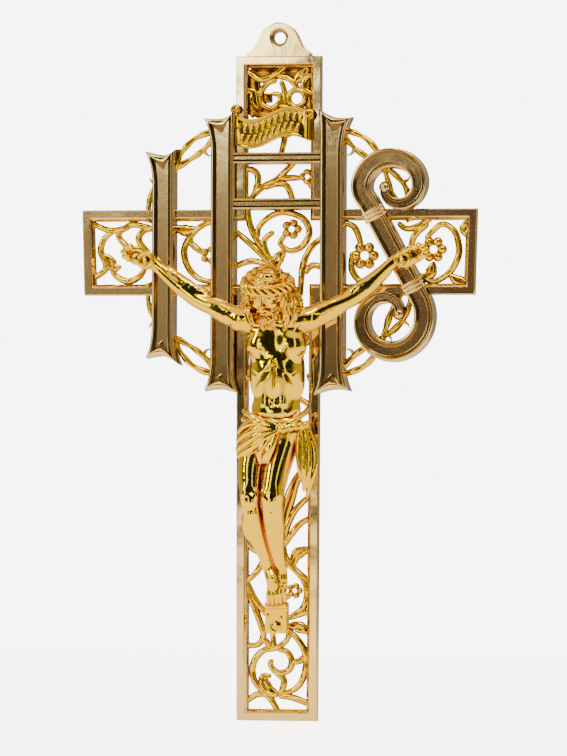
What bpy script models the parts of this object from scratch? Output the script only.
"""Brass crucifix: a pierced cast cross with a cast figure held on by three flush rivets.

Metres, +Z up, the front faces -Y and the flat back lies in the plane Y = 0. The origin is on the back
of the hanging lug, just under its hole. Flat work is drawn with X across, Y up and Z as the depth
towards the viewer, and is then stood upright.
"""

import math

import bmesh
import bpy
import numpy as np
from mathutils import Matrix, Vector

MM = 0.001
GAP = 0.3 * MM

# Frame of the cross
CROSS_TOP = -2.4 * MM
CROSS_HEIGHT = 285.0 * MM
SHAFT_WIDTH = 37.1 * MM
FOOT_WIDTH = 35.0 * MM
ARM_SPAN = 172.0 * MM
ARM_LEAN = 1.0 * MM
ARM_TOP = -68.2 * MM
ARM_HEIGHT = 36.9 * MM
RAIL_WIDTH = 4.9 * MM
FRAME_DEPTH = 4.5 * MM
FRAME_BEVEL = 0.7 * MM

# Hanging lug
LUG_FLARE = ((14.6 * MM, -1.6 * MM), (11.0 * MM, 0.4 * MM), (8.4 * MM, 5.0 * MM))
LUG_TOP = 12.3 * MM
LUG_DEPTH = 4.0 * MM
LUG_HOLE = 6.6 * MM
LUG_HOLE_HEIGHT = 5.6 * MM

# Tall bars with forked ends, and the rails between the middle two
BAR_DEPTH = 9.0 * MM
BAR_BACK = 0.35 * MM
BAR_WIDTH = 10.9 * MM
SIDE_BAR_WIDTH = 10.2 * MM
SIDE_BAR_X = -49.8 * MM
SIDE_BAR_TOP = -41.8 * MM
SIDE_BAR_FOOT = -134.0 * MM
POST_X = 23.8 * MM
POST_TOP = -25.0 * MM
POST_FOOT = -148.3 * MM
POST_SLANT = 3.6 * MM
OUTER_REACH = 3.4 * MM
INNER_REACH = 1.2 * MM
FOOT_REACH = 2.8 * MM
FORK_LENGTH = 13.0 * MM
FORK_NOTCH = 2.6 * MM
RIM_WIDTH = 1.5 * MM
FIELD_DROP = 0.8 * MM
WALL_DRAFT = 0.5 * MM
RIM_CHAMFER = 0.35 * MM
LADDER_HEIGHT = 5.2 * MM
UPPER_LADDER_Z = -46.3 * MM
LOWER_LADDER_Z = -66.0 * MM
LADDER_STEP = 0.25 * MM
LADDER_SINK = 1.6 * MM
SMALL_BEVEL = 0.3 * MM

# Scroll on the right: two bowls, each with its middle and its radii by angle
SCROLL_WIDTH = 9.4 * MM
SCROLL_BACK = 0.45 * MM
UPPER_BOWL = (51.0 * MM, -58.5 * MM)
LOWER_BOWL = (48.4 * MM, -114.6 * MM)
UPPER_BOWL_RADII = (13.6 * MM, 14.6 * MM, 11.8 * MM, 10.4 * MM, 7.6 * MM, 4.4 * MM)
UPPER_BOWL_ANGLES = (212, 175, 90, 0, -90, -170)
LOWER_BOWL_RADII = (15.6 * MM, 15.4 * MM, 14.6 * MM, 11.4 * MM, 8.2 * MM, 4.6 * MM)
LOWER_BOWL_ANGLES = (32, 0, -90, -180, -270, -345)

# Banner above the head
BANNER_HEIGHT = 12.8 * MM
BANNER_THICKNESS = 2.2 * MM
BANNER_FRONT = 8.6 * MM
BANNER_TOP = -27.6 * MM
BANNER_WAVE = 2.4 * MM
BANNER_RISE = 1.4 * MM
BANNER_LEFT_TUCK = 1.2 * MM
BANNER_RIGHT_GAP = 5.0 * MM
BANNER_LINK_WIDTH = 2.6 * MM
CURL_RADIUS = 1.9 * MM
CURL_OUTSET = 0.8 * MM
CURL_OVERHANG = 0.7 * MM

# Filigree, flowers and wreath
VINE_WIDTH = 1.9 * MM
VINE_DEPTH = 3.2 * MM
VINE_BACK = 0.5 * MM
STROKE_STEP = 0.07 * MM
STROKE_LEVELS = 8
FLOWER_DEPTH = 3.0 * MM
BACK_PANEL_RISE = 2.3 * MM
SHAFT_PANEL_HEIGHT = 117.0 * MM
WREATH_RADIUS = 58.3 * MM
WREATH_SPREAD = 3.1 * MM
WREATH_HEIGHT = -86.6 * MM
WREATH_BACK = 0.75 * MM
WREATH_WEAVE = 0.5 * MM
WREATH_END_ANGLE = 13
WREATH_SWAYS = 1.25
THORN_LENGTH = 4.5 * MM
THORN_RISE = 0.5 * MM

# Rivets and the bosses behind them
RIVET_SHANK = 3.0 * MM
RIVET_HEAD = 4.2 * MM
RIVET_COUNTERSINK = 0.8 * MM
RIVET_DOME = 0.3 * MM
DRILL_REACH = 2.0 * MM
BOSS_RADIUS = 3.7 * MM
BOSS_FOOT_RADIUS = 4.0 * MM
BOSS_STEP = 0.15 * MM
WEB_WIDTH = 5.0 * MM
WEB_DEPTH = 6.0 * MM

# Figure: its points are written in parts of its own height, 160 from the crown to the foot rest's edge
FIGURE_HEIGHT = 160.0 * MM
FIGURE_PARTS = 160.0
FIGURE_MIDDLE = (0.6 * MM, -86.6 * MM)
LEFT_PALM = (-56.4, -3.7)
RIGHT_PALM = (55.2, -3.7)
FOOT_REST = (0.7, -159.6)
PALM_THICKNESS = 5.2 * MM
FOOT_REST_THICKNESS = 3.6 * MM
FOOT_REST_WIDTH = 10.0 * MM
FOOT_REST_LEDGE = 1.6 * MM

# How finely the forms are faceted
VINE_TURN = math.radians(27)
SCROLL_TURN = math.radians(13)
SCROLL_STEPS = 8
RIVET_SIDES = 12
FIGURE_VOXEL = 0.55 * MM
FIGURE_FACES = 2300
CROSS_FACES = 6400

BRASS = (0.72, 0.48, 0.16, 1.0)
POLISHED_BRASS = (0.80, 0.62, 0.30, 1.0)

UPRIGHT = Matrix.Rotation(math.radians(90), 4, "X")


def clear_scene():
    for obj in list(bpy.data.objects):
        bpy.data.objects.remove(obj, do_unlink=True)


def new_collection(name, hidden=False):
    collection = bpy.data.collections.new(name)
    collection.hide_render = hidden
    bpy.context.scene.collection.children.link(collection)
    return collection


def brass(name, colour, roughness):
    material = bpy.data.materials.new(name)
    material.use_nodes = True
    shader = material.node_tree.nodes["Principled BSDF"]
    shader.inputs["Base Color"].default_value = colour
    shader.inputs["Metallic"].default_value = 1.0
    shader.inputs["Roughness"].default_value = roughness
    return material


def add_mesh(name, collection, build, upright=True):
    """Adds an object whose mesh is filled by build(bm)."""
    bm = bmesh.new()
    build(bm)
    mesh = bpy.data.meshes.new(name)
    bm.to_mesh(mesh)
    bm.free()
    obj = bpy.data.objects.new(name, mesh)
    if upright:
        obj.matrix_world = UPRIGHT
    collection.objects.link(obj)
    return obj


def as_mesh(obj, collection):
    """Swaps a curve object for a closed mesh object in the same place."""
    graph = bpy.context.evaluated_depsgraph_get()
    mesh = bpy.data.meshes.new_from_object(obj.evaluated_get(graph))
    bm = bmesh.new()
    bm.from_mesh(mesh)
    bmesh.ops.remove_doubles(bm, verts=bm.verts, dist=1e-6)
    bmesh.ops.recalc_face_normals(bm, faces=bm.faces)
    bm.to_mesh(mesh)
    bm.free()
    name = obj.name
    made = bpy.data.objects.new(name + "_mesh", mesh)
    made.matrix_world = obj.matrix_world.copy()
    collection.objects.link(made)
    bpy.data.objects.remove(obj, do_unlink=True)
    return made


def joined(name, objects, collection):
    """One mesh object, in world space, from many closed ones. The old ones are removed."""
    bm = bmesh.new()
    for obj in objects:
        start = len(bm.verts)
        bm.from_mesh(obj.data)
        bm.verts.ensure_lookup_table()
        bmesh.ops.transform(bm, matrix=obj.matrix_world, verts=bm.verts[start:])
    mesh = bpy.data.meshes.new(name)
    bm.to_mesh(mesh)
    bm.free()
    for obj in objects:
        bpy.data.objects.remove(obj, do_unlink=True)
    made = bpy.data.objects.new(name, mesh)
    collection.objects.link(made)
    return made


def subtract(obj, cutter):
    modifier = obj.modifiers.new("cut", "BOOLEAN")
    modifier.operation = "DIFFERENCE"
    modifier.object = cutter
    modifier.solver = "EXACT"


def unite(obj, collection):
    """Joins every piece of a collection to the object. EXACT leaves holes where so many strokes cross."""
    modifier = obj.modifiers.new("join", "BOOLEAN")
    modifier.operation = "UNION"
    modifier.operand_type = "COLLECTION"
    modifier.collection = collection
    modifier.solver = "MANIFOLD"


def coarsen(obj, most_faces):
    """Merges the smallest facets until about this many triangles are left."""
    graph = bpy.context.evaluated_depsgraph_get()
    count = sum(len(face.vertices) - 2 for face in obj.evaluated_get(graph).data.polygons)
    modifier = obj.modifiers.new("coarse", "DECIMATE")
    modifier.ratio = min(1.0, most_faces / count)


def smooth_path(points, steps):
    """A Catmull-Rom curve through the points, with this many steps between each two."""
    points = np.array(points, float)
    ends = 2 * points[0] - points[1], 2 * points[-1] - points[-2]
    padded = np.vstack([ends[0], points, ends[1]])
    t = (np.arange(steps) / steps)[:, None]
    pieces = []
    for before, start, end, after in zip(padded, padded[1:], padded[2:], padded[3:]):
        pieces.append(
            start
            + 0.5 * t * (end - before)
            + 0.5 * t**2 * (2 * before - 5 * start + 4 * end - after)
            + 0.5 * t**3 * (3 * start - before - 3 * end + after)
        )
    return np.vstack([*pieces, points[-1:]])


def thinned(path, most_turn):
    """The ends of a flat path, and the points where it has turned by most_turn since the last one kept."""
    steps = np.diff(path[:, :2], axis=0)
    heading = np.unwrap(np.arctan2(steps[:, 1], steps[:, 0]))
    kept = [0]
    last = heading[0]
    for index in range(1, len(path) - 1):
        if abs(heading[index] - last) > most_turn:
            kept.append(index)
            last = heading[index]
    return path[[*kept, len(path) - 1]]


def arc(middle, radius, start, end, count):
    """Points on an arc, angles in degrees, counted round from +X."""
    angles = np.radians(np.linspace(start, end, count))
    return [(middle[0] + radius * math.cos(a), middle[1] + radius * math.sin(a)) for a in angles]


def profile_curve(name, points):
    """A closed outline that a curve carries along as its section. It is in no collection."""
    curve = bpy.data.curves.new(name, "CURVE")
    curve.dimensions = "2D"
    spline = curve.splines.new("POLY")
    spline.points.add(len(points) - 1)
    for point, (x, y) in zip(spline.points, points):
        point.co = (x, y, 0, 1)
    spline.use_cyclic_u = True
    return bpy.data.objects.new(name, curve)


def ribbon_curve(name, run, closed, profile, collection):
    """A curve that carries the profile through points with x, y, depth and relative size."""
    curve = bpy.data.curves.new(name, "CURVE")
    curve.dimensions = "3D"
    curve.twist_mode = "Z_UP"
    curve.bevel_mode = "OBJECT"
    curve.bevel_object = profile
    curve.use_fill_caps = True
    spline = curve.splines.new("POLY")
    spline.points.add(len(run) - 1)
    for target, (x, y, z, radius) in zip(spline.points, run):
        target.co = (x, y, z, 1)
        target.radius = radius
    spline.use_cyclic_u = closed
    obj = bpy.data.objects.new(name, curve)
    obj.matrix_world = UPRIGHT
    collection.objects.link(obj)
    return obj


def strand(name, run, closed, profile, collection):
    """A closed mesh object from one run."""
    return as_mesh(ribbon_curve(name, run, closed, profile, collection), collection)


def plate_curve(name, outlines, depth, bevel, back, collection):
    """A flat plate from filled outlines, the inner ones being holes, with its edges bevelled."""
    curve = bpy.data.curves.new(name, "CURVE")
    curve.dimensions = "2D"
    curve.fill_mode = "BOTH"
    curve.extrude = depth / 2 - bevel
    curve.bevel_depth = bevel
    curve.bevel_resolution = 0
    curve.offset = -bevel
    for outline in outlines:
        spline = curve.splines.new("POLY")
        spline.points.add(len(outline) - 1)
        for point, (x, y) in zip(spline.points, outline):
            point.co = (x, y, 0, 1)
        spline.use_cyclic_u = True
    obj = bpy.data.objects.new(name, curve)
    obj.matrix_world = UPRIGHT @ Matrix.Translation((0, 0, back + depth / 2))
    collection.objects.link(obj)
    return obj


def rimmed_plate(name, loop, back, depth, collection):
    """A flat-backed plate whose front has a chamfered rim round a sunk field.

    It is a loft through four outlines. loop(margin) gives one, moved in from the outer edge by margin.
    """
    rim_start = WALL_DRAFT + RIM_CHAMFER
    rim_end = rim_start + RIM_WIDTH
    levels = (
        (0, back),
        (WALL_DRAFT, depth - RIM_CHAMFER),
        (rim_start, depth),
        (rim_end, depth),
        (rim_end + RIM_CHAMFER, depth - FIELD_DROP),
    )

    def build(bm):
        rings = [[bm.verts.new((x, y, z)) for x, y in loop(margin)] for margin, z in levels]
        for low, high in zip(rings, rings[1:]):
            for index, start in enumerate(low):
                after = (index + 1) % len(low)
                bm.faces.new((start, low[after], high[after], high[index]))
        bm.faces.new(rings[0][::-1])
        bm.faces.new(rings[-1])
        bmesh.ops.recalc_face_normals(bm, faces=bm.faces)

    return add_mesh(name, collection, build)


def cross_outline(inset):
    """The Latin cross's outline, moved in by inset, with the shaft tapering to its foot."""
    top = CROSS_TOP - inset
    foot = CROSS_TOP - CROSS_HEIGHT + inset
    arm_top = ARM_TOP - inset
    arm_foot = ARM_TOP - ARM_HEIGHT + inset
    upper = SHAFT_WIDTH / 2 - inset
    lower = FOOT_WIDTH / 2 - inset
    arm_share = (CROSS_TOP - arm_foot) / CROSS_HEIGHT
    under_arm = upper + (lower - upper) * arm_share
    end_top = ARM_SPAN / 2 - inset
    end_foot = end_top - ARM_LEAN
    right = [
        (lower, foot),
        (under_arm, arm_foot),
        (end_foot, arm_foot),
        (end_top, arm_top),
        (upper, arm_top),
        (upper, top),
    ]
    return right + [(-x, z) for x, z in reversed(right)]


def frame(collection):
    outlines = [cross_outline(0), cross_outline(RAIL_WIDTH)]
    return as_mesh(plate_curve("frame", outlines, FRAME_DEPTH, FRAME_BEVEL, 0, collection), collection)


def lug(collection):
    """The bell-shaped lug: a round top on flared shoulders, with a round hole."""
    middle = (0, LUG_HOLE_HEIGHT)
    crown = arc(middle, LUG_TOP - LUG_HOLE_HEIGHT, 20, 160, 8)
    side = [(LUG_FLARE[0][0], CROSS_TOP - RAIL_WIDTH / 2), *LUG_FLARE]
    outline = side + crown + [(-x, z) for x, z in reversed(side)]
    hole = arc(middle, LUG_HOLE / 2, 0, 330, 12)
    plate = plate_curve("lug", [outline, hole], LUG_DEPTH, FRAME_BEVEL / 2, 0, collection)
    return as_mesh(plate, collection)


def forked_loop(middle, half, tops, feet, reaches):
    """The outline of a bar with a swallowtail at each end, as a function of the margin moved in.

    tops and feet hold the heights of the left tip, the notch and the right tip. reaches holds how far the
    left and right tips stand out from the bar at the top. At the foot both stand out by FOOT_REACH.
    """
    reach_share, end_share, notch_share = 0.7, 1.5, 2.4
    least_reach = 0.2 * MM

    def end(heights, up, out, margin):
        left_tip, notch, right_tip = heights
        side = half - margin
        left, right = [max(least_reach, reach - margin * reach_share) for reach in out]
        drop = up * margin * end_share
        return [
            (side, right_tip - up * FORK_LENGTH - drop),
            (side + right * 0.35, right_tip - up * FORK_LENGTH * 0.4 - drop),
            (side + right, right_tip - drop),
            (0, notch - up * margin * notch_share),
            (-side - left, left_tip - drop),
            (-side - left * 0.35, left_tip - up * FORK_LENGTH * 0.4 - drop),
            (-side, left_tip - up * FORK_LENGTH - drop),
        ]

    def loop(margin):
        upper = end(tops, 1, reaches, margin)
        lower = end(feet, -1, (FOOT_REACH, FOOT_REACH), margin)
        return [(middle + x, z) for x, z in upper + lower[::-1]]

    return loop


def bars(collection):
    """The side bar, the two posts, and the two rails that tie the posts together."""
    side_half = SIDE_BAR_WIDTH / 2
    tops = (SIDE_BAR_TOP - 0.9 * MM, SIDE_BAR_TOP - FORK_NOTCH, SIDE_BAR_TOP)
    feet = (SIDE_BAR_FOOT + 1.5 * MM, SIDE_BAR_FOOT + FORK_NOTCH, SIDE_BAR_FOOT - 1.5 * MM)
    reaches = (OUTER_REACH, INNER_REACH)
    loop = forked_loop(SIDE_BAR_X, side_half, tops, feet, reaches)
    rimmed_plate("side_bar", loop, BAR_BACK, BAR_DEPTH, collection)
    for hand in (-1, 1):
        tops = (POST_TOP - POST_SLANT, POST_TOP - POST_SLANT, POST_TOP)[:: -hand]
        feet = (POST_FOOT + POST_SLANT / 2, POST_FOOT + FORK_NOTCH, POST_FOOT)[:: -hand]
        reaches = (OUTER_REACH, INNER_REACH)[:: -hand]
        loop = forked_loop(hand * POST_X, BAR_WIDTH / 2, tops, feet, reaches)
        rimmed_plate("post", loop, BAR_BACK, BAR_DEPTH, collection)
    for z in (UPPER_LADDER_Z, LOWER_LADDER_Z):
        back = BAR_BACK + LADDER_STEP
        rimmed_plate("ladder_rail", ladder_loop(z), back, BAR_DEPTH - LADDER_STEP, collection)


def ladder_loop(z):
    """A rail's rectangular outline, reaching into the posts."""

    def loop(margin):
        half = POST_X - BAR_WIDTH / 2 + LADDER_SINK
        rise = LADDER_HEIGHT / 2 - margin * 0.8
        return [(-half, z - rise), (half, z - rise), (half, z + rise), (-half, z + rise)]

    return loop


def spiral(middle, radii, angles):
    """A smooth spiral about a middle, through the given radii at the given angles in degrees."""
    degrees, reach = smooth_path(list(zip(angles, radii)), SCROLL_STEPS).T
    turns = np.radians(degrees)
    return np.column_stack([middle[0] + reach * np.cos(turns), middle[1] + reach * np.sin(turns)])


def scroll_path():
    """The scroll's middle line: the upper volute outwards, a straight slant, and the lower volute inwards."""
    upper = spiral(UPPER_BOWL, UPPER_BOWL_RADII, UPPER_BOWL_ANGLES)
    lower = spiral(LOWER_BOWL, LOWER_BOWL_RADII, LOWER_BOWL_ANGLES)
    return np.vstack([upper[::-1], lower])


def scroll_profile():
    """Half the bar's section, mirrored: draft, chamfer, rim and sunk field."""
    half = SCROLL_WIDTH / 2
    rim = half - WALL_DRAFT - RIM_CHAMFER
    right = [
        (half, SCROLL_BACK),
        (half - WALL_DRAFT, BAR_DEPTH - RIM_CHAMFER),
        (rim, BAR_DEPTH),
        (rim - RIM_WIDTH, BAR_DEPTH),
        (rim - RIM_WIDTH - RIM_CHAMFER, BAR_DEPTH - FIELD_DROP),
    ]
    return profile_curve("scroll_section", right + [(-x, y) for x, y in reversed(right)])


def scroll(collection):
    """The tall scroll along its path, narrowing towards both tips."""
    path = thinned(scroll_path(), SCROLL_TURN)
    along = np.concatenate([[0], np.cumsum(np.hypot(*np.diff(path, axis=0).T))])
    off_middle = np.abs(2 * along / along[-1] - 1)
    radius = 1 - 0.62 * np.clip((off_middle - 0.5) / 0.5, 0, 1) ** 1.3
    run = np.column_stack([path, np.zeros(len(path)), radius])
    return strand("scroll", run, False, scroll_profile(), collection)


def banner(collection):
    """The banner above the head: a waved plate with a curl at each end, and a link to the right post."""
    left = -POST_X + BAR_WIDTH / 2 - BANNER_LEFT_TUCK
    right = POST_X - BAR_WIDTH / 2 - BANNER_RIGHT_GAP
    across = np.linspace(0, 1, 9)
    x = left + (right - left) * across
    top = BANNER_TOP - BANNER_WAVE * np.sin(across * 2 * math.pi) + BANNER_RISE * across
    outline = [*zip(x[::-1], top[::-1]), *zip(x, top - BANNER_HEIGHT)]
    back = BANNER_FRONT - BANNER_THICKNESS
    as_mesh(plate_curve("banner", [outline], BANNER_THICKNESS, SMALL_BEVEL, back, collection), collection)
    right_curl = right + CURL_OUTSET * 1.5
    curl(left + CURL_OUTSET, top[0], collection)
    curl(right_curl, top[-1], collection)
    link = [(right_curl, top[-1] - CURL_RADIUS), (POST_X - BAR_WIDTH / 2 + RIM_WIDTH, top[-1])]
    plain_strip("banner_link", link, BANNER_LINK_WIDTH, BANNER_FRONT - BANNER_LEFT_TUCK, collection)


def curl(x, top, collection):
    """An upright roll at an end of the banner, standing past its top and foot."""
    middle = Matrix.Translation((x, top - BANNER_HEIGHT / 2, BANNER_FRONT - CURL_RADIUS * 1.15))
    add_mesh(
        "banner_curl",
        collection,
        lambda bm: bmesh.ops.create_cone(
            bm,
            cap_ends=True,
            segments=8,
            radius1=CURL_RADIUS,
            radius2=CURL_RADIUS,
            depth=BANNER_HEIGHT + 2 * CURL_OVERHANG,
            matrix=middle @ Matrix.Rotation(math.radians(90), 4, "X"),
        ),
    )


def plain_strip(name, ends, width, depth, collection):
    """A straight strip between two points, from the bars' backs forward by this depth."""
    (x1, z1), (x2, z2) = ends
    across = Vector((z1 - z2, x2 - x1)).normalized() * width / 2
    outline = [
        (x1 - across.x, z1 - across.y),
        (x2 - across.x, z2 - across.y),
        (x2 + across.x, z2 + across.y),
        (x1 + across.x, z1 + across.y),
    ]
    return as_mesh(plate_curve(name, [outline], depth, SMALL_BEVEL, BAR_BACK, collection), collection)


# Each panel of filigree is drawn on its own sheet, with the sheet's y running down. A panel is its
# sheet's corners and its strokes. A stroke is its kind and its points.
TOP_PANEL = (
    (243, 67, 309, 150),
    (
        ("vine", [(273, 79), (265, 81), (258, 87), (255, 95), (258, 103), (267, 107), (276, 101),
            (276, 94), (268, 92)]),
        ("ring", [(294, 97), (8.5, 8.5)]),
        ("vine", [(240, 69), (252, 77), (260, 78), (273, 72), (285, 62)]),
        ("vine", [(273, 75), (284, 77), (291, 82), (295, 90)]),
        ("leaf", [(290, 83), (297, 76), (308, 66)]),
        ("vine", [(277, 79), (281, 92), (281, 108), (275, 120), (281, 133), (277, 153)]),
        ("leaf", [(239, 88), (248, 91), (250, 100), (257, 110)]),
        ("vine", [(313, 74), (304, 77), (301, 87), (312, 94)]),
        ("vine", [(275, 104), (284, 106), (292, 105)]),
        ("vine", [(238, 120), (258, 125), (280, 133), (296, 126), (314, 118)]),
    ),
)
MIDDLE_PANEL = (
    (240, 148, 310, 181),
    (
        ("vine", [(247, 187), (254, 177), (262, 169), (272, 163), (281, 153), (291, 141)]),
        ("vine", [(237, 157), (247, 152), (255, 155), (257, 164), (253, 180)]),
        ("vine", [(262, 171), (272, 167), (281, 169), (287, 186)]),
        ("vine", [(275, 162), (283, 161), (293, 161)]),
        ("flower", [(298, 160), (7, 4)]),
        ("vine", [(299, 166), (304, 172), (314, 178)]),
    ),
)
CROSSING_PANEL = (
    (240, 209, 316, 290),
    (
        ("flower", [(289, 228), (9.5, 5)]),
        (
            "vine",
            [(258, 237), (260, 225), (271, 214), (284, 211), (299, 217), (305, 231), (299, 245),
                (288, 250), (279, 243), (283, 233)],
        ),
        ("vine", [(234, 226), (250, 241), (262, 254), (271, 266)]),
        ("vine", [(249, 204), (251, 222), (257, 238), (265, 250)]),
        ("vine", [(273, 230), (264, 240), (267, 254), (275, 270), (272, 288)]),
        ("leaf", [(284, 249), (277, 258), (275, 270)]),
        ("vine", [(321, 233), (307, 246), (300, 262), (298, 276), (297, 297)]),
        ("vine", [(301, 274), (305, 267), (311, 265), (321, 270)]),
        ("vine", [(233, 270), (246, 262), (258, 261), (271, 268)]),
        ("vine", [(281, 213), (281, 203)]),
    ),
)
LEFT_PANEL = (
    (93, 221, 210, 284),
    (
        ("vine", [(88, 221), (102, 228), (112, 230), (122, 228), (132, 224), (155, 229)]),
        ("vine", [(112, 230), (103, 238), (99, 250), (104, 262), (103, 270), (89, 280)]),
        ("leaf", [(101, 253), (107, 259), (112, 267), (120, 266)]),
        ("vine", [(110, 266), (114, 275), (126, 281), (138, 276), (144, 266)]),
        ("vine", [(120, 229), (117, 236), (124, 245), (133, 256), (144, 267)]),
        ("vine", [(155, 228), (142, 230), (137, 240), (148, 254)]),
        ("vine", [(216, 221), (202, 224), (189, 235), (182, 250), (186, 267), (198, 279), (216, 282)]),
        ("vine", [(190, 233), (188, 241), (197, 250), (206, 254)]),
        ("flower", [(207, 255), (9, 5)]),
        ("leaf", [(170, 226), (183, 230), (196, 228)]),
    ),
)
RIGHT_PANEL = (
    (345, 221, 465, 284),
    (
        ("flower", [(363, 256), (14, 6)]),
        ("vine", [(339, 222), (353, 228), (360, 246)]),
        ("vine", [(351, 252), (350, 268), (356, 279), (368, 287)]),
        ("vine", [(396, 223), (404, 229), (414, 228), (430, 219)]),
        ("vine", [(427, 224), (416, 233), (411, 241), (410, 252)]),
        ("vine", [(424, 240), (432, 231), (441, 225), (451, 230), (456, 240), (457, 256), (448, 273),
            (431, 282), (416, 274)]),
        ("flower", [(432, 250), (13, 6)]),
        ("leaf", [(420, 276), (428, 275), (433, 262)]),
        ("vine", [(471, 240), (461, 230), (470, 219)]),
        ("leaf", [(447, 274), (456, 281), (471, 286)]),
        ("vine", [(427, 251), (408, 256)]),
    ),
)
BACK_PANEL = (
    (243, 290, 309, 440),
    (
        ("vine", [(272, 288), (244, 305), (276, 322), (308, 340), (276, 357), (244, 374), (276, 392),
            (308, 410), (280, 430), (274, 446)]),
    ),
)
SHAFT_PANEL = (
    (248, 440, 309, 712),
    (
        ("leaf", [(284, 550), (285, 525), (290, 503), (299, 481), (314, 464)]),
        ("vine", [(284, 550), (288, 530), (297, 513), (314, 497)]),
        ("vine", [(284, 550), (293, 537), (302, 527), (314, 520)]),
        ("vine", [(284, 548), (286, 560), (295, 572), (314, 587)]),
        ("leaf", [(294, 571), (298, 558), (314, 551)]),
        ("flower", [(296, 594), (8, 5)]),
        ("vine", [(292, 598), (276, 606)]),
        ("vine", [(298, 575), (308, 590), (306, 609), (290, 622)]),
        ("vine", [(242, 541), (251, 552), (263, 560), (257, 574), (242, 588)]),
        ("vine", [(242, 470), (256, 500), (252, 530), (242, 549)]),
        ("vine", [(274, 436), (267, 478), (275, 520), (269, 560), (276, 606), (273, 634), (275, 652)]),
        ("vine", [(269, 558), (262, 562)]),
        ("vine", [(275, 520), (284, 552)]),
        ("vine", [(245, 584), (250, 602), (259, 624), (263, 638), (257, 648), (242, 649)]),
        ("vine", [(245, 584), (254, 603), (270, 622)]),
        ("vine", [(262, 640), (268, 647), (275, 651)]),
        (
            "vine",
            [(290, 634), (288, 643), (277, 651), (263, 654), (253, 666), (253, 682), (264, 695),
                (279, 699)],
        ),
        ("vine", [(283, 629), (298, 641), (307, 656), (307, 674), (299, 690), (279, 699)]),
        ("vine", [(272, 662), (271, 669), (279, 676), (290, 673), (293, 664), (288, 655), (277, 652)]),
        ("vine", [(276, 675), (285, 684), (281, 698)]),
        ("leaf", [(272, 679), (263, 681), (267, 691), (281, 699)]),
        ("vine", [(293, 665), (301, 664), (308, 658)]),
        ("vine", [(242, 707), (256, 698), (268, 699), (280, 716)]),
        ("vine", [(279, 699), (292, 700), (302, 703), (314, 708)]),
        ("vine", [(289, 622), (299, 618), (314, 614)]),
        ("leaf", [(288, 628), (300, 630), (314, 636)]),
    ),
)


def panels():
    """Each drawn panel with the real opening that it fills: (left, top, right, foot)."""
    inner = SHAFT_WIDTH / 2 - RAIL_WIDTH
    foot_inner = FOOT_WIDTH / 2 - RAIL_WIDTH
    between_posts = POST_X - BAR_WIDTH / 2
    outside_posts = POST_X + BAR_WIDTH / 2
    arm_end = ARM_SPAN / 2 - RAIL_WIDTH
    arm_top = ARM_TOP - RAIL_WIDTH
    arm_foot = ARM_TOP - ARM_HEIGHT + RAIL_WIDTH
    upper_low, upper_high = UPPER_LADDER_Z - LADDER_HEIGHT / 2, UPPER_LADDER_Z + LADDER_HEIGHT / 2
    lower_low, lower_high = LOWER_LADDER_Z - LADDER_HEIGHT / 2, LOWER_LADDER_Z + LADDER_HEIGHT / 2
    shaft_foot = CROSS_TOP - CROSS_HEIGHT + RAIL_WIDTH
    shaft_top = shaft_foot + SHAFT_PANEL_HEIGHT
    head_high = ARM_TOP - ARM_HEIGHT + BACK_PANEL_RISE
    return (
        (TOP_PANEL, (-inner, CROSS_TOP - RAIL_WIDTH, inner, upper_high)),
        (MIDDLE_PANEL, (-between_posts, upper_low, between_posts, lower_high)),
        (CROSSING_PANEL, (-between_posts, lower_low, between_posts, head_high)),
        (LEFT_PANEL, (-arm_end, arm_top, -outside_posts, arm_foot)),
        (RIGHT_PANEL, (outside_posts, arm_top, arm_end, arm_foot)),
        (BACK_PANEL, (-inner, head_high, inner, shaft_top)),
        (SHAFT_PANEL, (-foot_inner, shaft_top, foot_inner, shaft_foot)),
    )


def width_along(kind, count):
    """A stroke's relative width: a vine thins towards its ends, a leaf swells in its middle."""
    t = np.linspace(0, 1, count)
    if kind == "leaf":
        return 0.55 + 1.05 * np.sin(math.pi * t) ** 1.5
    return 0.8 + 0.3 * np.sin(math.pi * t)


def vine_section():
    """The vines' section: a flat back and a ridge towards the viewer."""
    half = VINE_WIDTH / 2
    return profile_curve("vine_section", [(half, 0), (0, VINE_DEPTH), (-half, 0)])


def flower_mesh(name, middle, radius, petals, back, collection):
    """A pierced flower: its outline swells at each petal, round a small hole."""
    turns = np.arange(petals * 4) * 2 * math.pi / (petals * 4)
    swell = radius * (0.86 + 0.14 * np.cos(turns * petals))
    outline = [(middle[0] + r * math.cos(a), middle[1] + r * math.sin(a)) for r, a in zip(swell, turns)]
    hole = arc(middle, radius * 0.3, 0, 300, 6)
    return as_mesh(plate_curve(name, [outline, hole], FLOWER_DEPTH, 0.35 * MM, back, collection), collection)


def on_panel(sheet, opening, points):
    """Points of a sheet, placed in the panel's opening, and the mean scale."""
    left, top, right, foot = opening
    scale_x = (right - left) / (sheet[2] - sheet[0])
    scale_z = (top - foot) / (sheet[3] - sheet[1])
    points = np.array(points, float)
    x = left + (points[:, 0] - sheet[0]) * scale_x
    z = top - (points[:, 1] - sheet[1]) * scale_z
    return np.column_stack([x, z]), (scale_x + scale_z) / 2


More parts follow.
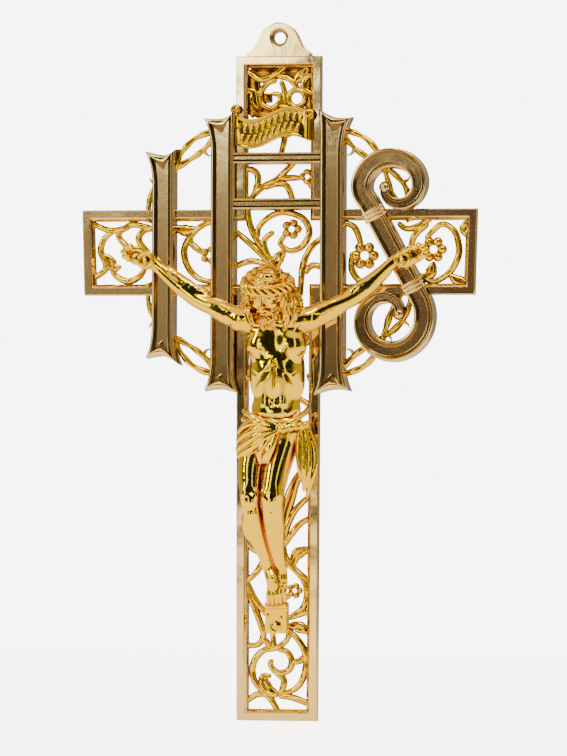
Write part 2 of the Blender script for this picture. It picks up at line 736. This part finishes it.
def filigree(collection):
    """All the vines, leaves, rings and flowers, their backs stepped so that crossing ones don't coincide."""
    section = vine_section()
    strokes = [(sheet, opening, *stroke) for (sheet, drawn), opening in panels() for stroke in drawn]
    for number, (sheet, opening, kind, points) in enumerate(strokes):
        back = VINE_BACK + STROKE_STEP * (number % STROKE_LEVELS)
        if kind in ("flower", "ring"):
            (middle,), scale = on_panel(sheet, opening, points[:1])
            size, petals = points[1]
        if kind == "flower":
            flower_mesh("flower", middle, size * scale, petals, back, collection)
            continue
        if kind == "ring":
            path = np.array(arc(middle, size * scale, 0, 324, 10))
            width = np.ones(len(path))
        else:
            path = thinned(smooth_path(on_panel(sheet, opening, points)[0], 8), VINE_TURN)
            width = width_along(kind, len(path))
        run = np.column_stack([path, np.full(len(path), back), width])
        strand("vine", run, kind == "ring", section, collection)


def wreath_strand(quarter, strand_number, count):
    """Points (x, height, depth) of one strand in a quarter: it sways about the wreath's radius."""
    t = np.linspace(0, 1, count)
    angles = np.radians(WREATH_END_ANGLE + (90 - 2 * WREATH_END_ANGLE) * t)
    phase = 2 * math.pi * WREATH_SWAYS * t + strand_number * math.pi
    radius = WREATH_RADIUS + WREATH_SPREAD * np.sin(phase)
    hand = -1 if quarter in (1, 2) else 1
    rise = -1 if quarter in (2, 3) else 1
    depth = WREATH_BACK + WREATH_WEAVE * np.cos(phase)
    return np.column_stack([hand * radius * np.cos(angles), rise * radius * np.sin(angles), depth])


def wreath(collection):
    """Two thorny strands that cross each other round the arms, seen between the arms of the cross."""
    section = vine_section()
    middle = np.array([0, WREATH_HEIGHT, 0])
    for quarter in range(4):
        for strand_number in (0, 1):
            path = wreath_strand(quarter, strand_number, 9)
            width = np.full((len(path), 1), 0.95)
            strand("wreath", np.hstack([path + middle, width]), False, section, collection)
            for index in (2 + strand_number, 5 + strand_number):
                away = 1 if index % 2 == strand_number else -1
                base = path[index]
                tip = path[index + 1].copy()
                tip[:2] *= 1 + away * THORN_LENGTH / np.hypot(*tip[:2])
                tip[2] = base[2] + THORN_RISE
                thorn = np.array([[*(base + middle), 0.7], [*(tip + middle), 0.2]])
                thorn[0, 2] += STROKE_STEP
                strand("thorn", thorn, False, section, collection)


def rivet_profile(front, clearance, reach):
    """(radius, depth) down a rivet's side: a countersunk head at each end of the shank."""
    head = RIVET_HEAD / 2 + clearance
    shank = RIVET_SHANK / 2 + clearance
    edge = RIVET_COUNTERSINK * 0.4
    return [
        (head, front + reach),
        (head, front - edge),
        (shank, front - RIVET_COUNTERSINK),
        (shank, RIVET_COUNTERSINK),
        (head, edge),
        (head, -reach),
    ]


def turned(name, points, x, z, collection):
    """A profile of (radius, depth) points, from front to back, turned about the depth at (x, z)."""

    def build(bm):
        verts = [bm.verts.new((radius, 0, depth)) for radius, depth in points]
        for start, end in zip(verts, verts[1:]):
            bm.edges.new((start, end))

    obj = add_mesh(name, collection, build)
    obj.matrix_world = Matrix.Translation((x, 0, z)) @ UPRIGHT
    screw = obj.modifiers.new("turn", "SCREW")
    screw.axis = "Z"
    screw.steps = RIVET_SIDES
    screw.render_steps = RIVET_SIDES
    screw.use_merge_vertices = True
    screw.merge_threshold = 1e-6
    return obj


def rivet(name, x, z, front, collection):
    """A rivet from the back plane to front, with a low dome."""
    dome = [(0, front + RIVET_DOME), (RIVET_HEAD * 0.3, front + RIVET_DOME * 0.7)]
    return turned(name, [*dome, *rivet_profile(front, 0, 0), (0, 0)], x, z, collection)


def rivet_hole(name, x, z, front, collection):
    """The cutter of a rivet's countersunk hole."""
    ends = (0, front + DRILL_REACH), (0, -DRILL_REACH)
    return turned(name, [ends[0], *rivet_profile(front, GAP, DRILL_REACH), ends[1]], x, z, collection)


def boss(name, x, z, collection):
    return add_mesh(
        name,
        collection,
        lambda bm: bmesh.ops.create_cone(
            bm,
            cap_ends=True,
            segments=14,
            radius1=BOSS_FOOT_RADIUS,
            radius2=BOSS_RADIUS,
            depth=BAR_DEPTH - 2 * BOSS_STEP,
            matrix=Matrix.Translation((x, z, BAR_DEPTH / 2)),
        ),
    )


def rivet_places():
    """Each rivet's name, x, height and front: through both palms and the foot rest."""
    palm_front = BAR_DEPTH + GAP + PALM_THICKNESS
    rest_front = BAR_DEPTH + GAP + FOOT_REST_THICKNESS
    places = (
        ("rivet_left_hand", LEFT_PALM, palm_front),
        ("rivet_right_hand", RIGHT_PALM, palm_front),
        ("rivet_feet", FOOT_REST, rest_front),
    )
    middles = [figure_point(x, 0, z) for _, (x, z), _ in places]
    return [(name, at.x, at.z, front) for (name, _, front), at in zip(places, middles)]


def bosses(collection):
    """A boss behind each rivet, and a web from each hand's boss to the bar or scroll that carries it."""
    left, right, _ = rivet_places()
    for name, x, z, _ in rivet_places():
        boss(name + "_boss", x, z, collection)
    upper_end = spiral(UPPER_BOWL, UPPER_BOWL_RADII, UPPER_BOWL_ANGLES)[0]
    lower_start = spiral(LOWER_BOWL, LOWER_BOWL_RADII, LOWER_BOWL_ANGLES)[0]
    slant_x = np.interp(right[2], [lower_start[1], upper_end[1]], [lower_start[0], upper_end[0]])
    for (_, x, z, _), carrier in ((left, SIDE_BAR_X), (right, slant_x)):
        plain_strip("web", [(x, z), (carrier, z)], WEB_WIDTH, WEB_DEPTH, collection)


# The figure. Each form is written at (x, depth, z) in parts of the figure's height, with depth counted
# from its flat back and z from the middle of the arms.
LIMBS = {
    "neck": ([(1.6, 8.5, -33.5), (0.4, 10, -27), (-0.6, 12, -22)], [5.2, 4.3, 4.6]),
    "left_arm": (
        [(-9, 8.0, -29.5), (-16, 7.8, -28), (-24, 6.6, -25), (-32.7, 5.6, -21.4), (-37.5, 5.0, -18),
            (-41.5, 4.7, -15), (-50.4, 3.4, -7.7), (-53.5, 3.0, -4.9)],
        [5.6, 4.9, 4.3, 4.0, 4.1, 3.9, 2.4, 2.7],
    ),
    "right_arm": (
        [(10, 8.0, -30), (16.5, 7.8, -28), (24.2, 6.6, -24.2), (32.6, 5.6, -20.6), (37, 5.0, -17.4),
            (41.2, 4.7, -14.1), (51, 3.4, -4.3), (53.5, 3.0, -3.4)],
        [5.6, 5.0, 4.3, 4.1, 4.2, 3.9, 2.5, 2.8],
    ),
    "left_leg": (
        [(-6.4, 7.4, -78), (-8.9, 9.5, -91.5), (-9.0, 12, -103), (-8.4, 12.3, -108.5), (-7.6, 10.4, -118),
            (-5.2, 7.6, -128), (-2.7, 5.6, -136.5)],
        [6.4, 5.9, 4.9, 4.4, 4.4, 3.3, 2.5],
    ),
    "right_leg": (
        [(5.8, 7.4, -78), (3.0, 10.2, -91.5), (1.4, 13.4, -103), (1.2, 13.7, -108.5), (1.0, 11.4, -118),
            (1.2, 8.2, -128), (2.2, 5.6, -136.5)],
        [6.6, 6.1, 5.2, 4.7, 4.4, 3.3, 2.5],
    ),
    "left_foot": ([(-2.7, 5.4, -136), (-1.6, 6.4, -142), (-0.9, 5.4, -149)], [2.6, 3.0, 2.0]),
    "right_foot": ([(2.3, 5.2, -136), (2.2, 5.2, -142), (2.4, 3.8, -149)], [2.6, 2.9, 2.2]),
    "hair_left": ([(-6.0, 13, -10), (-9.2, 13, -18), (-9.6, 12, -27),
        (-7.8, 11, -36)], [3.4, 2.8, 2.5, 1.4]),
    "hair_right": ([(4.4, 13, -9), (8.4, 12, -16), (9.8, 11, -25), (9.6, 10, -33)], [4.0, 3.6, 3.2, 1.6]),
    "hair_nape": ([(3.4, 13, -12), (5.6, 12, -21), (6.0, 11, -30), (5.8, 11, -37)], [3.4, 2.8, 2.4, 1.2]),
    "nose": ([(-3.4, 22.0, -16.6), (-3.8, 23.2, -20.6)], [0.8, 1.2]),
    "knot": ([(3.0, 16.0, -75.5), (7.0, 15.5, -75.5), (12, 12.0, -73)], [1.5, 1.6, 1.3]),
    "waist_edge": ([(-12.4, 9, -68.0), (-8.0, 13.5, -71.4), (-1, 15.5, -72.6),
        (5, 15.6, -75.2)], [1.5, 1.5, 1.4, 1.3]),
    "tail_outer": ([(12.4, 11, -73), (15.2, 10, -84), (15.0, 9, -94),
        (12.0, 8, -104)], [1.9, 2.3, 2.1, 1.2]),
    "tail_inner": ([(10.4, 12.2, -74), (12.0, 11.5, -85), (11.8, 10.5, -95),
        (10.6, 9.5, -102.5)], [1.8, 2.2, 1.9, 1.1]),
    "tail_edge": ([(8.8, 12.4, -74), (8.6, 12.0, -84), (9.0, 11.0, -93)], [1.5, 1.7, 1.2]),
    "hem": ([(-12.6, 9.0, -88), (-9.0, 14.8, -88.6), (-3.4, 15.6, -90.5),
        (1.2, 14.2, -88.0)], [1.4, 1.5, 1.3, 1.2]),
    "left_thumb": ([(-54.0, 4.6, -3.2), (-57.5, 5.6, -0.4), (-60.5, 5.2, -0.6)], [1.3, 1.2, 0.9]),
    "right_thumb": ([(54.2, 4.6, -1.8), (57.5, 5.6, 0.8), (60.5, 5.2, 0.6)], [1.3, 1.2, 0.9]),
}
FOLDS = 5
MASSES = {
    "ribcage": ((0.8, 7.8, -41), (12.4, 7.8, 16.0), 0),
    "shoulders": ((1.0, 8.0, -31.5), (13.6, 6.0, 5.8), 0),
    "left_pectoral": ((-5.0, 13.2, -39.4), (6.6, 4.2, 5.4), 14),
    "right_pectoral": ((7.0, 13.2, -39.4), (6.6, 4.2, 5.4), -14),
    "waist": ((1.0, 7.8, -52.0), (11.2, 7.2, 9.0), 0),
    "left_shoulder": ((-14.2, 8.4, -29.6), (5.0, 4.8, 4.9), 0),
    "right_shoulder": ((15.2, 8.4, -29.6), (5.0, 4.8, 4.9), 0),
    "belly": ((1.2, 8.2, -59.5), (10.8, 7.8, 13.0), 0),
    "hips": ((0.6, 7.6, -77), (13.6, 8.2, 10.5), 0),
    "skirt": ((-1.6, 8.4, -84), (13.0, 7.4, 8.0), 0),
    "skull": ((-2.0, 14.6, -17.0), (7.6, 8.4, 10.4), 6),
    "hair_cap": ((-1.4, 12.6, -14.6), (9.2, 8.6, 9.6), 8),
    "beard": ((-3.6, 18.6, -28.6), (3.9, 3.4, 5.4), 4),
    "left_palm": ((-56.0, 2.8, -3.7), (5.2, 3.0, 4.4), -38),
    "right_palm": ((56.0, 2.8, -3.7), (5.2, 3.0, 4.4), 38),
}
FINGERS = 4


def figure_point(x, depth, z):
    """A point written in the figure's own parts, in world space."""
    part = FIGURE_HEIGHT / FIGURE_PARTS
    middle_x, middle_z = FIGURE_MIDDLE
    return Vector((middle_x + x * part, -(BAR_DEPTH + GAP + depth * part), middle_z + z * part))


def limb(name, points, radii, collection):
    """A round tube through the points, with its radius changing along it."""
    part = FIGURE_HEIGHT / FIGURE_PARTS
    path = smooth_path([(*figure_point(*point), radius * part) for point, radius in zip(points, radii)], 3)
    curve = bpy.data.curves.new(name, "CURVE")
    curve.dimensions = "3D"
    curve.bevel_depth = 1.0
    curve.bevel_resolution = 3
    curve.use_fill_caps = True
    spline = curve.splines.new("POLY")
    spline.points.add(len(path) - 1)
    for target, (x, y, z, radius) in zip(spline.points, path):
        target.co = (x, y, z, 1)
        target.radius = radius
    obj = bpy.data.objects.new(name, curve)
    collection.objects.link(obj)
    made = [as_mesh(obj, collection)]
    for end in (0, -1):
        made.append(ball(name + "_end", Vector(path[end][:3]), [path[end][3]] * 3, 0, collection))
    return made


def ball(name, middle, radii, lean, collection):
    """An ellipsoid, leaning by an angle about the depth."""
    turn = Matrix.Rotation(math.radians(lean), 4, "Y")
    matrix = Matrix.Translation(middle) @ turn @ Matrix.Diagonal((*radii, 1))
    return add_mesh(
        name,
        collection,
        lambda bm: bmesh.ops.create_icosphere(bm, subdivisions=3, radius=1.0, matrix=matrix),
        upright=False,
    )


def finger_limbs():
    """Four curled fingers on each palm, fanned out from the wrist."""
    made = {}
    for hand in (-1, 1):
        for index in range(FINGERS):
            spread = index - (FINGERS - 1) / 2
            root = (hand * 59.0 + hand * 0.5 * spread, 3.4, -2.0 + 1.9 * spread)
            knuckle = (root[0] + hand * 3.6, 5.0, root[2] + 1.2)
            tip = (root[0] + hand * 3.2, 7.0, root[2] - 0.4)
            made[f"finger_{hand}_{index}"] = ([root, knuckle, tip], [1.5, 1.3, 0.9])
    return made


def fold_limbs():
    """The cloth's folds, fanning from the knot down to the left hip."""
    made = {}
    for index in range(FOLDS):
        share = index / (FOLDS - 1)
        end = (-12.4 + 7.4 * share**2, 9.4 + 5.2 * share, -73.5 - 14.5 * share)
        middle = (-6.0 + 3.0 * share, 15.8 + 0.4 * share, -73.5 - 7.0 * share)
        made[f"fold_{index}"] = ([(3.4, 15.6, -75.6), middle, end], [1.0, 1.5, 1.5])
    return made


def crown_limbs():
    """Two strands of the crown of thorns, twisted round the head."""
    made = {}
    turns = np.linspace(0, 2 * math.pi, 15)
    for strand in (0, 1):
        sway = 0.9 * np.sin(5 * turns + strand * math.pi)
        points = [
            (-1.5 + (9.4 + 0.3 * s) * math.cos(a), 14.0 - 9.2 * math.sin(a), -11.4 + s + 1.6 * math.sin(a))
            for a, s in zip(turns, sway)
        ]
        made[f"crown_{strand}"] = (points, [1.05] * len(points))
    return made


def foot_rest(collection):
    """The small block under the feet: a profile with a ledge at its top, as wide as the rest."""
    part = FIGURE_HEIGHT / FIGURE_PARTS
    thickness = FOOT_REST_THICKNESS
    ledge = thickness + FOOT_REST_LEDGE
    section = [
        (0, -3.4 * part),
        (thickness - SMALL_BEVEL, -3.4 * part),
        (thickness, -3.0 * part),
        (thickness, 6.4 * part),
        (ledge, 7.4 * part),
        (ledge, 9.0 * part),
        (0, 10.2 * part),
    ]
    middle = figure_point(FOOT_REST[0], 0, FOOT_REST[1])
    left = middle.x - FOOT_REST_WIDTH / 2
    base = BAR_DEPTH + GAP / 2

    def build(bm):
        face = bm.faces.new([bm.verts.new((left, -(base + depth), middle.z + z)) for depth, z in section])
        out = bmesh.ops.extrude_face_region(bm, geom=[face])
        moved = [item for item in out["geom"] if isinstance(item, bmesh.types.BMVert)]
        bmesh.ops.translate(bm, verts=moved, vec=(FOOT_REST_WIDTH, 0, 0))
        bmesh.ops.recalc_face_normals(bm, faces=bm.faces)

    return add_mesh("foot_rest", collection, build, upright=False)


def back_cutter(collection):
    """A block that reaches from behind the cross to the plane of the figure's flat back."""
    plane = BAR_DEPTH + GAP
    depth = plane + 2 * BAR_DEPTH
    size = Matrix.Diagonal((2 * ARM_SPAN, depth, 2 * CROSS_HEIGHT, 1))
    middle = Matrix.Translation((0, depth / 2 - plane, -CROSS_HEIGHT / 2))
    return add_mesh(
        "back_cutter",
        collection,
        lambda bm: bmesh.ops.create_cube(bm, size=1.0, matrix=middle @ size),
        upright=False,
    )


def corpus(parts, cutters, metal):
    forms = []
    for name, (points, radii) in {**LIMBS, **finger_limbs(), **fold_limbs(), **crown_limbs()}.items():
        forms += limb(name, points, radii, cutters)
    part = FIGURE_HEIGHT / FIGURE_PARTS
    for name, (middle, radii, lean) in MASSES.items():
        forms.append(ball(name, figure_point(*middle), [r * part for r in radii], lean, cutters))
    forms.append(foot_rest(cutters))
    obj = joined("corpus", forms, parts)
    obj.data.materials.append(metal)
    remesh = obj.modifiers.new("skin", "REMESH")
    remesh.mode = "VOXEL"
    remesh.voxel_size = FIGURE_VOXEL
    soften = obj.modifiers.new("soften", "SMOOTH")
    soften.factor = 0.5
    soften.iterations = 1
    coarsen(obj, FIGURE_FACES)
    subtract(obj, back_cutter(cutters))
    return obj


def cross(parts, ornament, metal):
    obj = joined("cross", [frame(ornament)], parts)
    obj.data.materials.append(metal)
    lug(ornament)
    scroll(ornament)
    wreath(ornament)
    bars(ornament)
    banner(ornament)
    filigree(ornament)
    bosses(ornament)
    unite(obj, ornament)
    coarsen(obj, CROSS_FACES)
    return obj


def main():
    clear_scene()
    parts = new_collection("brass_crucifix")
    ornament = new_collection("ornament", hidden=True)
    cutters = new_collection("cutters", hidden=True)
    polished = brass("polished cast brass", POLISHED_BRASS, 0.16)
    golden = brass("golden cast brass", BRASS, 0.22)
    cross_object = cross(parts, ornament, polished)
    figure = corpus(parts, cutters, golden)
    for name, x, z, front in rivet_places():
        hole = rivet_hole(name + "_hole", x, z, front, cutters)
        subtract(cross_object, hole)
        subtract(figure, hole)
        rivet(name, x, z, front, parts).data.materials.append(golden)
    for obj in [*ornament.objects, *cutters.objects]:
        obj.hide_render = True
        obj.display_type = "WIRE"


main()
